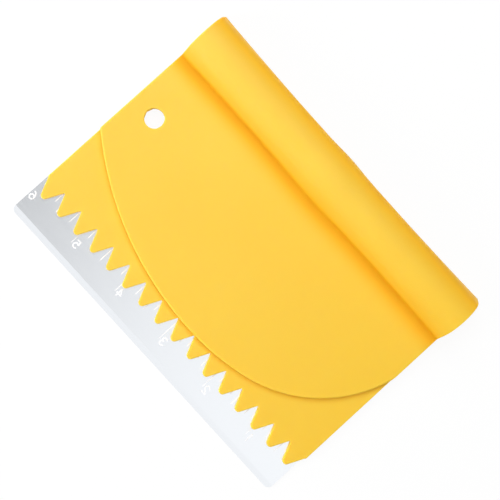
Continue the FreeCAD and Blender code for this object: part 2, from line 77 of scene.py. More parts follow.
# %% [markdown]
# ## From points to a piece
# Every moulded piece is a closed skin of points. One could model it with extrusions and bevels, but
# points that are worked out keep each radius and gap exact. The helper writes them into a mesh,
# turns all faces outwards, gives it its material and hangs it under the body named root.

# %% Make a piece from points and faces
def add_object(name, data):
    """Put a mesh, a lamp or a camera into the scene as an object at the origin."""
    item = bpy.data.objects.new(name, data)
    bpy.context.scene.collection.objects.link(item)
    return item


def make_piece(name, points, faces, material, slot_name, smooth=True):
    """A closed skin as an object; its volume adds up the wedges from the origin to each face."""
    mesh = bpy.data.meshes.new(name)
    mesh.from_pydata(to_model(points).tolist(), [], faces)
    skin = bmesh.new()
    skin.from_mesh(mesh)
    bmesh.ops.recalc_face_normals(skin, faces=skin.faces)
    volume = skin.calc_volume(signed=True) / MM ** 3
    skin.to_mesh(mesh)
    skin.free()
    mesh.shade_smooth() if smooth else mesh.shade_flat()
    mesh.materials.append(material)
    piece = add_object(name, mesh)
    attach(piece, "root")
    print(f"{name}: {len(mesh.vertices)} points, {len(mesh.polygons)} faces, {volume:.0f} cubic mm")
    return piece


print("helpers:", add_object.__name__, make_piece.__name__)

# %% [markdown]
# ## Small tools for node trees
# A material is a net of nodes. The same few steps come back in each one: noise, a change of range,
# a sum, a blend of two colours, and bumps. Each becomes a helper, so that a finish reads like a
# recipe.

# %% New materials and their nodes
def new_material(name):
    """A new material, its node tree and its Principled shader."""
    material = bpy.data.materials.new(name)
    material.use_nodes = True
    tree = material.node_tree
    return material, tree, tree.nodes["Principled BSDF"]


def add_node(tree, kind, **values):
    """A new node with its named sockets or settings set."""
    node = tree.nodes.new(kind)
    for key, value in values.items():
        if key in node.inputs:
            node.inputs[key].default_value = value
        else:
            setattr(node, key, value)
    return node


def feed(tree, socket, value):
    """Link a node's output to a socket, or set a plain number or colour on it."""
    if hasattr(value, "is_linked"):
        tree.links.new(value, socket)
    else:
        socket.default_value = (*value, 1.0) if isinstance(value, tuple) else value


print("helpers:", new_material.__name__, add_node.__name__, feed.__name__)


# %% Noise, ranges, sums and blends
def noise(tree, vector, scale, detail=2.0):
    """Soft noise from 0 to 1, with scale features to the metre."""
    node = add_node(tree, "ShaderNodeTexNoise", Scale=scale, Detail=detail)
    tree.links.new(vector, node.inputs["Vector"])
    return node.outputs["Fac"]


def ramp(tree, factor, low, high, from_low=0.3, from_high=0.7):
    """Carry a factor from one range onto another, as a straight line.

    The range that is read when none is given, 0.3 to 0.7, is the one that noise mostly fills.
    """
    node = add_node(tree, "ShaderNodeMapRange")
    ranges = {"From Min": from_low, "From Max": from_high, "To Min": low, "To Max": high}
    for socket, value in ranges.items():
        node.inputs[socket].default_value = value
    tree.links.new(factor, node.inputs["Value"])
    return node.outputs["Result"]


def soft_step(tree, factor, low, high):
    """0 below low, 1 above high, and 3 t^2 - 2 t^3 in between."""
    node = add_node(tree, "ShaderNodeMapRange", interpolation_type="SMOOTHSTEP")
    node.inputs["From Min"].default_value, node.inputs["From Max"].default_value = low, high
    tree.links.new(factor, node.inputs["Value"])
    return node.outputs["Result"]


def calc(tree, operation, first, second, clamp=False):
    """One step of arithmetic, on node outputs or plain numbers."""
    node = add_node(tree, "ShaderNodeMath", operation=operation, use_clamp=clamp)
    for socket, value in zip(node.inputs, (first, second)):
        feed(tree, socket, value)
    return node.outputs[0]


def blend_colors(tree, factor, first, second):
    """First colour times (1 - factor) plus second colour times factor."""
    node = add_node(tree, "ShaderNodeMix", data_type="RGBA")
    tree.links.new(factor, node.inputs["Factor"])
    colors = [item for item in node.inputs if item.type == "RGBA"]
    for socket, value in zip(colors, (first, second)):
        feed(tree, socket, value)
    return next(item for item in node.outputs if item.type == "RGBA")


print("helpers:", [tool.__name__ for tool in (noise, ramp, soft_step, calc, blend_colors)])


# %% Stored numbers and bumps
def attribute(tree, name):
    """A number that is stored at each point of the piece."""
    return add_node(tree, "ShaderNodeAttribute", attribute_name=name).outputs["Fac"]


def add_bump(tree, shader, height, strength, distance):
    """Tilt the shading as if the surface rose by height times distance."""
    bump = add_node(tree, "ShaderNodeBump", Strength=strength, Distance=distance)
    tree.links.new(height, bump.inputs["Height"])
    tree.links.new(bump.outputs["Normal"], shader.inputs["Normal"])


print("helpers:", attribute.__name__, add_bump.__name__)

# %% [markdown]
# ## The satin yellow plastic
# The scrapers are moulded from a soft yellow polypropylene. Light enters a little way and comes out
# redder, so the material scatters light below its surface. The colour also carries painted shade:
# the yellow turns orange in the crease under the roll, down the roll's flanks and over its crest,
# and a painted shadow deepens it beside the bowl scraper's edge. Two numbers stored at the pieces'
# points say where that painted shade lies, because only the piece itself knows its creases. A
# spark-eroded mould leaves a very fine grain, which noise gives as bump and as a slight change in
# gloss, and a painted shade makes the yellow a little deeper to the right.

# %% Yellow plastic
PALE_YELLOW, BRIGHT_YELLOW = (1.0, 0.597, 0.080), (1.0, 0.622, 0.090)
# Painted shade: the yellow grows deeper towards the right end, where less light falls.
RIGHT_SHADE_YELLOW, RIGHT_SHADE_SHARE, RIGHT_SHADE_SPAN = (1.0, 0.585, 0.045), 0.8, 0.075
# Painted shade: the colour turns to these oranges in the crease, on the roll and beside an edge.
SHADE_ORANGE, DEEP_SHADE_ORANGE, SHADE_ORANGE_DEPTH = (1.0, 0.50, 0.018), (0.86, 0.405, 0.0005), 0.6
# Strength and fall of the painted shadow band beside the bowl scraper's edge.
SHADOW_BAND_DEPTH, SHADOW_BAND_FALL = 0.30, (1.1, 1.4)
CLOUDS, GRAIN = 22.0, 2600.0


def pigment_and_side_shade(tree, place):
    """Clouds between two yellows, then painted shade: a blend towards a deeper yellow that grows
    along X.
    """
    cloud = ramp(tree, noise(tree, place, CLOUDS, 3.0), 0.0, 1.0)
    along = add_node(tree, "ShaderNodeSeparateXYZ")
    tree.links.new(place, along.inputs[0])
    right = ramp(tree, along.outputs["X"], 0.0, RIGHT_SHADE_SHARE, -RIGHT_SHADE_SPAN, RIGHT_SHADE_SPAN)
    clouded = blend_colors(tree, cloud, PALE_YELLOW, BRIGHT_YELLOW)
    return blend_colors(tree, right, clouded, RIGHT_SHADE_YELLOW)


def painted_shade_depth(tree):
    """Smoothed painted shade squared, plus 0.30 of painted shadow in a band rising to an edge,
    falling under it.
    """
    beside = attribute(tree, "edge_shadow")
    rise, fall = soft_step(tree, beside, 0.0, 1.0), soft_step(tree, beside, *SHADOW_BAND_FALL)
    band = calc(tree, "SUBTRACT", rise, fall, clamp=True)
    deep = calc(tree, "POWER", soft_step(tree, attribute(tree, "crease_and_roll_shade"), 0.0, 1.0), 2.0)
    return calc(tree, "ADD", deep, calc(tree, "MULTIPLY", band, SHADOW_BAND_DEPTH), clamp=True)


def yellow_plastic():
    """Pigment with painted shade: orange up to a shade depth of 0.6, and deep orange from there to 1.
    """
    material, tree, shader = new_material("yellow_plastic")
    place = add_node(tree, "ShaderNodeTexCoord").outputs["Object"]
    deep = painted_shade_depth(tree)
    to_orange = ramp(tree, deep, 0.0, 1.0, 0.0, SHADE_ORANGE_DEPTH)
    to_deep = ramp(tree, deep, 0.0, 1.0, SHADE_ORANGE_DEPTH, 1.0)
    middle = blend_colors(tree, to_orange, pigment_and_side_shade(tree, place), SHADE_ORANGE)
    color = blend_colors(tree, to_deep, middle, DEEP_SHADE_ORANGE)
    tree.links.new(color, shader.inputs["Base Color"])
    grain = noise(tree, place, GRAIN, 2.0)
    tree.links.new(ramp(tree, grain, 0.50, 0.60), shader.inputs["Roughness"])
    shader.inputs["Specular IOR Level"].default_value = 0.18
    shader.inputs["Subsurface Weight"].default_value = 0.7
    shader.inputs["Subsurface Radius"].default_value = (0.9, 0.8, 0.35)
    shader.inputs["Subsurface Scale"].default_value = 0.0024
    add_bump(tree, shader, grain, 0.12, 0.00004)
    return material


YELLOW = yellow_plastic()
print("material:", YELLOW.name)

# %% [markdown]
# ## The roll's cross section
# The handle is not a plain tube. Its crest is an arc of one radius, and straight flanks run from
# the arc down to a crease in front and a rim behind. Along the tool the crease and the rim swing
# outwards at the middle and at both ends, which leaves two finger scoops between them. All three
# arches read the same numbers, so they nest with an even gap.

# %% How crease, rim and axis run along the tool
CREASE_BASE, CREASE_BELL, CREASE_END = 11.15, 0.85, 0.55
CREASE_WIDTH, CREASE_POWER = 18.8, 6
RIM_BASE, RIM_BELL, RIM_END = 10.85, 0.55, 1.0
RIM_WIDTH, RIM_POWER = 9.0, 2.5


def swing(share, width, power):
    """The two parts of a swing outwards: a bell e^-(along / width)^2, and share to a power."""
    return np.exp(-(share * TOOL_HALF / width) ** 2), share ** power


def roll_station(share):
    """Axis height and the leans of both flanks, at a share of the half length.

    A reach is a base plus a bell around the middle plus a power that grows towards the ends. A lean
    is arccos(radius / distance) - arctan(up / across), for a flank that touches the crest arc.
    """
    crease_bell, crease_end = swing(share, CREASE_WIDTH, CREASE_POWER)
    rim_bell, rim_end = swing(share, RIM_WIDTH, RIM_POWER)
    crease = CREASE_BASE + CREASE_BELL * crease_bell + CREASE_END * crease_end
    rim = RIM_BASE + RIM_BELL * rim_bell + RIM_END * rim_end
    axis = CREST_HEIGHT - CREST_RADIUS - CREST_SCOOP * (1 - rim_bell - rim_end)

    def lean(across, up):
        return np.arccos(CREST_RADIUS / np.hypot(across, up)) - np.arctan2(up, across)

    return axis, lean(crease, axis - BOWL_TOP), lean(rim, axis)


def arch_face(station, radius, foot_height):
    """Feet and touching points of one face of an arch, for every cross section.

    A touching point is the axis plus radius times (cos, sin) of the lean; from there the flank
    falls outwards by height times the tangent of its lean.
    """
    axis, front, back = station
    front_touch = np.stack([CREST_LINE - radius * np.cos(front), axis + radius * np.sin(front)], -1)
    back_touch = np.stack([CREST_LINE + radius * np.cos(back), axis + radius * np.sin(back)], -1)
    front_run = (front_touch[:, 1] - foot_height) * np.tan(front)
    front_foot = np.stack([front_touch[:, 0] - front_run, np.full_like(axis, foot_height)], -1)
    back_run = back_touch[:, 1] * np.tan(back)
    back_foot = np.stack([back_touch[:, 0] + back_run, np.zeros_like(axis)], -1)
    return front_foot, front_touch, back_touch, back_foot


def crest_arc(station, radius, steps):
    """Arc over the crest from the front touching point to the back one: equal steps of angle."""
    axis, front, back = station
    share = np.linspace(0, 1, steps + 1)
    angle = (np.pi - front)[:, None] * (1 - share) + back[:, None] * share
    y, z = CREST_LINE + radius * np.cos(angle), axis[:, None] + radius * np.sin(angle)
    return np.stack([y, z], -1)


AXIS_HEIGHTS = roll_station(np.array([0.0, 0.5, 1.0]))[0]
print("axis height at the middle, a scoop and an end:", AXIS_HEIGHTS.round(2))

# %% [markdown]
# ## Soft corners and straight runs
# Moulded plastic has no knife-sharp corner. Each corner of a cross section becomes a small arc
# that touches both its sides, and straight runs get a few points in between.

# %% Corner arcs and straight runs
def corner_arc(before, corner, after, radius, steps):
    """Arc that touches both sides of a corner, in equal steps of angle.

    Its centre lies on the corner's bisector at radius / sin(half angle); a point is the centre plus
    the two end spokes weighted by sin((1 - t) turn) / sin(turn) and sin(t turn) / sin(turn).
    """
    to_before = (before - corner) / np.linalg.norm(before - corner, axis=-1, keepdims=True)
    to_after = (after - corner) / np.linalg.norm(after - corner, axis=-1, keepdims=True)
    half = 0.5 * np.arccos(np.sum(to_before * to_after, -1, keepdims=True))
    bisector = (to_before + to_after) / np.linalg.norm(to_before + to_after, axis=-1, keepdims=True)
    centre = corner + bisector * radius / np.sin(half)
    first = corner + to_before * radius / np.tan(half) - centre
    last = corner + to_after * radius / np.tan(half) - centre
    turn, share = np.pi - 2 * half[:, None], np.linspace(0, 1, steps + 1)[:, None]
    spokes = np.sin((1 - share) * turn) * first[:, None] + np.sin(share * turn) * last[:, None]
    return centre[:, None] + spokes / np.sin(turn)


def run_between(start, end, count):
    """Points strictly between two ends, evenly spaced: start times (1 - t) plus end times t."""
    share = np.linspace(0, 1, count + 2)[1:-1, None]
    return start[:, None] * (1 - share) + end[:, None] * share


SLANTED = np.array([[[0.0, 4.0]], [[0.0, 0.0]], [[4.0, 1.0]]])
print("a corner rounded by 1 mm:", corner_arc(*SLANTED, 1.0, 2)[0].round(2).tolist())

# %% [markdown]
# ## A scraper's cross section
# The closed line starts at the working edge, runs over the front face to the crease, over the arch,
# round the back rim, and returns underneath. The edge's rounding is drawn with the outline itself
# moved inwards, so it keeps its radius wherever the edge runs at a slant. A narrow strip beside
# each rounding keeps the flat plate flat in the smooth shading.

# %% Closed cross section of a plastic scraper
EDGE_POINTS, PLATE_ROWS = 5, 14
BACK_EDGE, RIM_ROUND, UNDER_CREASE = 0.1, 0.35, 0.7
EDGE_STRIP, CREASE_STRIP = 0.15, np.array([0.12, 0.0])


def rounded_edge(x, outline, radius, level, side):
    """Quarter circle at the edge: r(1 - cos a) inwards and r(1 - sin a) in from the face.

    side is 1 at the front face and -1 at the back one.
    """
    quarter = np.linspace(0, np.pi / 2, EDGE_POINTS)
    inset = radius * (1 - np.cos(quarter))
    height = np.broadcast_to(level - side * radius * (1 - np.sin(quarter)), (len(x), EDGE_POINTS))
    return np.stack([outline(x[:, None], inset[None]), height], -1)


def plate_start(x, outline, inset, level):
    """The edge moved inwards by inset, where the flat plate begins."""
    return np.stack([outline(x, np.full_like(x, inset)), np.full_like(x, level)], -1)


def scraper_section(
        x, half, shift, outline, back, top, crest, edge_radius, crease_radius, arc_steps):
    """Cross sections at every x: rows of (y, z) that close on themselves.

    The inner line is the outer one moved in through the wall, walked the other way.
    """
    station = roll_station(np.abs(x - shift) / half)
    hollow = crest - (top - back)
    front_foot, front_touch, back_touch, back_foot = arch_face(station, crest, top)
    inner_foot, inner_touch, inner_back, inner_rim = arch_face(station, hollow, back)
    front_start = plate_start(x, outline, edge_radius + EDGE_STRIP, top)
    back_start = plate_start(x, outline, BACK_EDGE + EDGE_STRIP, back)
    crease = corner_arc(front_start, front_foot, front_touch, crease_radius, 6)
    under_crease = corner_arc(inner_touch, inner_foot, back_start, UNDER_CREASE, 4)
    rim_out = corner_arc(back_touch, back_foot, inner_rim, RIM_ROUND, 4)
    rim_in = corner_arc(back_foot, inner_rim, inner_back, RIM_ROUND, 4)
    before_crease, beyond_crease = crease[:, 0] - CREASE_STRIP, under_crease[:, -1] - CREASE_STRIP
    return np.concatenate([
        rounded_edge(x, outline, edge_radius, top, 1),
        front_start[:, None],
        run_between(front_start, before_crease, PLATE_ROWS),
        before_crease[:, None],
        crease,
        run_between(crease[:, -1], front_touch, 2),
        crest_arc(station, crest, arc_steps),
        run_between(back_touch, rim_out[:, 0], 3),
        rim_out,
        rim_in,
        run_between(rim_in[:, -1], inner_back, 3),
        crest_arc(station, hollow, arc_steps)[:, ::-1],
        run_between(inner_touch, under_crease[:, 0], 2),
        under_crease,
        beyond_crease[:, None],
        run_between(beyond_crease, back_start, PLATE_ROWS),
        back_start[:, None],
        rounded_edge(x, outline, BACK_EDGE, back, -1)[:, ::-1],
    ], 1)


print("points across each plate face:", PLATE_ROWS + 2)

# %% [markdown]
# ## Carrying the section along the tool
# The section is worked out at each step along the tool. At both ends it shrinks inwards on a
# quarter circle, which rounds the side edges, and a flat face closes it.

# %% Skin from sections, with rounded ends
END_ROUND, END_FLAT = 0.25, 0.03


def with_ends(inner_x, low, high):
    """Add end steps: at angle a a step lies r(1 - sin a) from the end and r(1 - cos a) inwards."""
    angle = np.linspace(0, np.pi / 2, 4)
    from_end = np.append(END_ROUND * (1 - np.sin(angle)), 0.0)
    inwards = np.append(END_ROUND * (1 - np.cos(angle)), END_ROUND + END_FLAT)
    x = np.concatenate([(low + from_end)[::-1], inner_x, high - from_end])
    return x, np.concatenate([inwards[::-1], np.zeros_like(inner_x), inwards])


def shrink(section, inwards):
    """Move each point against its outward normal, the section's tangent turned by 90 degrees."""
    tangent = np.roll(section, -1, 1) - np.roll(section, 1, 1)
    tangent /= np.linalg.norm(tangent, axis=-1, keepdims=True)
    normal = np.stack([tangent[..., 1], -tangent[..., 0]], -1)
    y, z = section[..., 0], section[..., 1]
    area = np.sum(y * np.roll(z, -1, 1) - np.roll(y, -1, 1) * z, 1)
    return section - normal * (np.sign(area) * inwards)[:, None, None]


def skin_points(x, section):
    """Each section's (y, z) with its own x in front."""
    return np.concatenate([np.broadcast_to(x[:, None, None], (*section.shape[:2], 1)), section], -1)


def tube_faces(index, keep=None):
    """Quads between neighbouring rows of a grid whose columns close on themselves."""
    following = np.roll(index, -1, 1)
    quads = np.stack([index[:-1], index[1:], following[1:], following[:-1]], -1)
    quads = quads.reshape(-1, 4) if keep is None else quads[keep]
    return quads.tolist()


def closed_faces(index, keep=None):
    """The same quads, and one flat face over each end."""
    return tube_faces(index, keep) + [index[0].tolist(), index[-1, ::-1].tolist()]


print("end steps from 0 mm:", with_ends(np.array([2.0]), 0.0, 4.0)[0][:5].round(3).tolist())

# %% [markdown]
# ## The hang hole
# The tool hangs from a round hole near its left end. A boolean cut would leave long thin triangles
# that shade badly, so a few quads are left out of both plate faces, and rings of points lead from
# that window in to the hole's rounded rim, down through it and out again on the other face.

# %% Skin of a scraper with its hang hole
HOLE_ROUND, HOLE_STRIP = 0.3, 0.15
WINDOW_X, WINDOW_Y = 6.2, 5.2


def window_loop(index, first, last, row):
    """The grid's indices round a window, along its four sides in turn; row(r) is a column."""
    (c0, r0), (c1, r1) = first, last
    along, up = np.arange(c0, c1), np.arange(r0, r1)
    return np.concatenate([
        index[along, row(r0)],
        index[c1, row(up)],
        index[along[::-1] + 1, row(r1)],
        index[c0, row(up[::-1] + 1)],
    ])


def hole_rings(loop_points, back, top):
    """Rings from the front face through the hole to the back face.

    Each window point keeps its angle round the hole's centre; the rings follow a rounded rim,
    radius + r(1 - cos a) out and r(1 - sin a) in from the face.
    """
    angle = np.arctan2(loop_points[:, 1] - HOLE_Y, loop_points[:, 0] - HOLE_X)
    turn, outside = np.linspace(np.pi / 2, 0, 4), [HOLE_RADIUS + HOLE_ROUND + HOLE_STRIP]
    reach = HOLE_RADIUS + HOLE_ROUND * (1 - np.cos(turn))
    depth = HOLE_ROUND * (1 - np.sin(turn))
    reach = np.concatenate([outside, reach, reach[::-1], outside])[:, None]
    level = np.concatenate([[top], top - depth, (back + depth)[::-1], [back]])[:, None]
    x, y = HOLE_X + reach * np.cos(angle), HOLE_Y + reach * np.sin(angle)
    return np.stack([x, y, np.broadcast_to(level, x.shape)], -1)


def moulded_scraper(x, inwards, section, back, top):
    """Skin of a scraper, with a window in both plate faces that the hang hole's rings fill."""
    grid = skin_points(x, shrink(section, inwards))
    count, across = grid.shape[:2]
    index = np.arange(count * across).reshape(count, across)
    front0, back0 = EDGE_POINTS, across - EDGE_POINTS - 1
    c0, c1 = np.flatnonzero(np.abs(x - HOLE_X) < WINDOW_X)[[0, -1]]
    middle = grid[(c0 + c1) // 2, front0:front0 + PLATE_ROWS + 2, 1]
    r0 = np.flatnonzero(middle < HOLE_Y - WINDOW_Y)[-1]
    r1 = np.flatnonzero(middle > HOLE_Y + WINDOW_Y)[0]
    keep = np.ones((count - 1, across), bool)
    keep[c0:c1, front0 + r0:front0 + r1] = False
    keep[c0:c1, back0 - r1:back0 - r0] = False
    front_loop = window_loop(index, (c0, r0), (c1, r1), lambda row: front0 + row)
    back_loop = window_loop(index, (c0, r0), (c1, r1), lambda row: back0 - row)
    points = grid.reshape(-1, 3)
    rings = hole_rings(points[front_loop], back, top)
    ring_index = index.size + np.arange(rings[..., 0].size).reshape(rings.shape[:2])
    faces = closed_faces(index, keep) + tube_faces(np.vstack([front_loop, ring_index, back_loop]))
    return np.concatenate([points, rings.reshape(-1, 3)]), faces


print(f"hang hole: {2 * HOLE_RADIUS:.0f} mm wide, rim rounded by {HOLE_ROUND} mm")

# %% [markdown]
# ## The bowl scraper
# Its edge is one long lopsided curve that fits the inside of a bowl. Three arcs that touch each
# other follow it with few numbers, and unlike a drawn curve they can be moved inwards exactly. The
# piece lies on top, so its rounded rim catches the light against the comb below.

# %% The bowl scraper's edge
LOW_X, LOW_Y = 6.2, 19.55
LEFT_Y, RIGHT_Y = 46.6, 66.0
RIGHT_RADIUS, RIGHT_RUN = 105.0, 29.0


def bowl_outline(x, inset):
    """Height of the edge at x, moved inwards by inset.

    On an arc the height is centre - square root of ((radius - inset)^2 - (x - centre)^2). The left
    arc is level at the low point and passes the left corner; the last one starts where the right
    arc has turned and passes the right corner.
    """
    run, rise = LOW_X + TOOL_HALF, LEFT_Y - LOW_Y
    left_radius = (run ** 2 + rise ** 2) / (2 * rise)
    turn = math.asin(RIGHT_RUN / RIGHT_RADIUS)
    turn_x, turn_y = LOW_X + RIGHT_RUN, LOW_Y + RIGHT_RADIUS * (1 - math.cos(turn))
    chord_x, chord_y = TOOL_HALF - turn_x, RIGHT_Y - turn_y
    reach = chord_y * math.cos(turn) - chord_x * math.sin(turn)
    end_radius = (chord_x ** 2 + chord_y ** 2) / (2 * reach)
    end_x, end_y = turn_x - end_radius * math.sin(turn), turn_y + end_radius * math.cos(turn)

    def arc(radius, centre_x, centre_y):
        return centre_y - np.sqrt(np.maximum((radius - inset) ** 2 - (x - centre_x) ** 2, 0.0))

    left = arc(left_radius, LOW_X, LOW_Y + left_radius)
    right = arc(RIGHT_RADIUS, LOW_X, LOW_Y + RIGHT_RADIUS)
    last = arc(end_radius, end_x, end_y)
    turned = LOW_X + (RIGHT_RADIUS - inset) * math.sin(turn)
    return np.where(x < LOW_X, left, np.where(x < turned, right, last))


CORNERS = np.array([-TOOL_HALF, LOW_X, TOOL_HALF])
print("edge at the corners and the low point:", bowl_outline(CORNERS, np.zeros(3)).round(2))

# %% The bowl scraper's skin
BOWL_STEPS, BOWL_MARGIN = 260, 0.55

bowl_steps = np.linspace(BOWL_MARGIN - TOOL_HALF, TOOL_HALF - BOWL_MARGIN, BOWL_STEPS)
bowl_x, bowl_in = with_ends(bowl_steps, -TOOL_HALF, TOOL_HALF)
bowl_section = scraper_section(
    bowl_x, TOOL_HALF, 0.0, bowl_outline, BOWL_BACK, BOWL_TOP, CREST_RADIUS,
    edge_radius=0.6, crease_radius=1.0, arc_steps=22)
bowl = make_piece(
    "bowl_scraper_shell", *moulded_scraper(bowl_x, bowl_in, bowl_section, BOWL_BACK, BOWL_TOP),
    YELLOW, "yellow_plastic")
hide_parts("bowl_scraper")

# %% [markdown]
# ## Where the painted shade is deep
# The crease in front of the roll and the roll's two flanks and crest are where the colour carries
# painted shade. The distance from the crease and the height over the plate are known at each
# point, so the depth of the painted shade is worked out from them and stored with the point.

# %% Paint shade into the bowl scraper's crease and flanks
# How far the painted shade reaches from the crease, and how deep it is on the roll.
CREASE_REACH, HEIGHT_WEIGHT = 12.0, 5.0
FLANK_BASE, FLANK_GAIN, FLANK_MOST, CREST_FREE = 0.22, 0.07, 0.85, 5.5
ARCH_START = 0.2


def points_of(piece):
    """A piece's points in the tool's millimetres: metres / 0.001, less the edge's place."""
    return np.array([vertex.co for vertex in piece.data.vertices]) / MM - [0.0, EDGE_Y, 0.0]


def store(piece, name, values):
    """Keep one number at each point of a piece, where the material's Attribute node finds it."""
    piece.data.attributes.new(name, "FLOAT", "POINT").data.foreach_set("value", values)


def paint_crease_and_roll_shade(piece):
    """How deep the painted shade is at each point, from 0 on the open plate to 1 in the crease.

    On the plate it is 1 - (distance from the crease along Y + 5 times the height over it) / reach.
    On the arch it is 0.22, and grows by 0.07 for each mm behind the crest line, and for each mm
    more than 5.5 in front of it, up to 0.85.
    """
    x, y, z = points_of(piece).T
    crease = arch_face(roll_station(np.abs(x) / TOOL_HALF), CREST_RADIUS, BOWL_TOP)[0][:, 0]
    plate = 1 - (np.abs(crease - y) + HEIGHT_WEIGHT * np.maximum(z - BOWL_TOP, 0)) / CREASE_REACH
    away = np.maximum(y - CREST_LINE, CREST_LINE - CREST_FREE - y)
    flank = np.clip(FLANK_BASE + FLANK_GAIN * away, 0, FLANK_MOST)
    depth = np.maximum(plate, np.where(y > crease + ARCH_START, flank, 0))
    store(piece, "crease_and_roll_shade", depth)
    print(f"{piece.name}: colour deepest at {np.sum(depth > 0.9)} points")


paint_crease_and_roll_shade(bowl)

# %% [markdown]
# ## The comb scraper
# It draws lines in icing with sixteen teeth that have round tips and narrow round notches. Moving
# this outline inwards only makes the tip circles smaller and the notch circles larger around the
# same centres, so the rounded edge follows every tooth.

# %% The comb's teeth
TEETH = 16
PITCH = 2 * COMB_HALF / TEETH
TIP_Y, TIP_RADIUS = 11.65, 1.45
ROOT_Y, ROOT_RADIUS = 19.25, 0.4
END_GAP = 0.05
ROOT_CENTRE, TIP_CENTRE = ROOT_Y - ROOT_RADIUS, TIP_Y + TIP_RADIUS
FLANK_LEAN = math.atan2(PITCH / 2, ROOT_CENTRE - TIP_CENTRE) - math.asin(
    (TIP_RADIUS + ROOT_RADIUS) / math.hypot(PITCH / 2, ROOT_CENTRE - TIP_CENTRE))


def comb_outline(x, inset):
    """Height of the toothed edge at x, moved inwards by inset.

    Away from a notch's middle by w the edge is the notch circle, then the straight flank that
    touches both circles, then the tip circle.
    """
    along = np.mod(x - COMB_SHIFT + COMB_HALF, PITCH)
    away = np.minimum(along, PITCH - along)
    root, tip = ROOT_RADIUS + inset, TIP_RADIUS - inset
    notch_end, tip_start = root * math.cos(FLANK_LEAN), PITCH / 2 - tip * math.cos(FLANK_LEAN)
    notch = ROOT_CENTRE + np.sqrt(np.maximum(root ** 2 - away ** 2, 0.0))
    point = TIP_CENTRE - np.sqrt(np.maximum(tip ** 2 - (PITCH / 2 - away) ** 2, 0.0))
    flank = ROOT_CENTRE + root * math.sin(FLANK_LEAN) - (away - notch_end) / math.tan(FLANK_LEAN)
    return np.where(away < notch_end, notch, np.where(away > tip_start, point, flank))


def comb_steps():
    """Steps along the comb: closer on the round tips and in the notches than on the flanks."""
    notch = ROOT_RADIUS * np.cos(np.linspace(np.pi / 2, FLANK_LEAN, 4))
    tip = PITCH / 2 - TIP_RADIUS * np.cos(np.linspace(FLANK_LEAN, np.pi / 2, 7))
    half = np.concatenate([notch, np.linspace(notch[-1], tip[0], 6)[1:-1], tip])
    tooth = np.concatenate([half, PITCH - half[-2:0:-1]])
    x = (tooth + PITCH * np.arange(TEETH)[:, None]).ravel() - COMB_HALF + COMB_SHIFT
    inside = np.abs(x - COMB_SHIFT) < COMB_HALF - END_ROUND - END_GAP
    return x[inside]


print(f"{TEETH} teeth, one each {PITCH:.2f} mm, flanks lean {math.degrees(FLANK_LEAN):.1f} degrees")

# %% The comb's skin
comb_x, comb_in = with_ends(comb_steps(), COMB_SHIFT - COMB_HALF, COMB_SHIFT + COMB_HALF)
comb_section = scraper_section(
    comb_x, COMB_HALF, COMB_SHIFT, comb_outline, COMB_BACK, COMB_TOP, COMB_CREST,
    edge_radius=0.3, crease_radius=0.4, arc_steps=14)
comb = make_piece(
    "comb_scraper_shell", *moulded_scraper(comb_x, comb_in, comb_section, COMB_BACK, COMB_TOP),
    YELLOW, "yellow_plastic")
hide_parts("comb_scraper")

# %% [markdown]
# ## The painted shadow on the comb beside the bowl scraper's edge
# The bowl scraper covers most of the comb, and next to its edge the comb gets light from one side
# only. The distance to that edge changes evenly over the plate, so a few widely spaced points carry
# it well, and the material turns it into a narrow band of painted shadow, a deeper yellow.

# %% Painted shadow on the comb beside the curved edge
# Reach of the painted shadow beside the edge, and the step that measures the edge's slant.
SHADOW_BAND_REACH, SLANT_STEP = 2.6, 0.1


def paint_edge_shadow(piece, outline):
    """How near each point is to an edge that lies on it: 1 at the edge, 0 at the band's reach.

    It is 1 - (height left to the edge times the cosine of the edge's slant) / reach, and so it is
    more than 1 under the piece on top. The material paints the edge's shadow from it.
    """
    x, y, _ = points_of(piece).T
    zero = np.zeros_like(x)
    rise = outline(x + SLANT_STEP, zero) - outline(x - SLANT_STEP, zero)
    slant = np.arctan(rise / (2 * SLANT_STEP))
    near = 1 - (outline(x, zero) - y) * np.cos(slant) / SHADOW_BAND_REACH
    store(piece, "edge_shadow", near)
    print(f"{piece.name}: {np.sum((near > 0) & (near < 1))} points beside the edge")


paint_edge_shadow(comb, bowl_outline)

# %% [markdown]
# ## The grip on the blade
# The innermost arch is moulded on the blade: its foot lies on the steel, a heel closes the sheet's
# upper edge, and pegs of the same plastic fill the row of anchor holes. From below, the pegs show
# as yellow dots in the steel.

# %% Grip
GRIP_STEPS, GRIP_MARGIN, GRIP_ARC = 150, 0.85, 16
GRIP_ROUND, TANG_ROUND = 0.3, 0.1


def closed_tube(x, section):
    """Points and faces of a section carried along x, closed at both ends."""
    points = skin_points(x, section)
    index = np.arange(points[..., 0].size).reshape(points.shape[:2])
    return points.reshape(-1, 3), closed_faces(index)


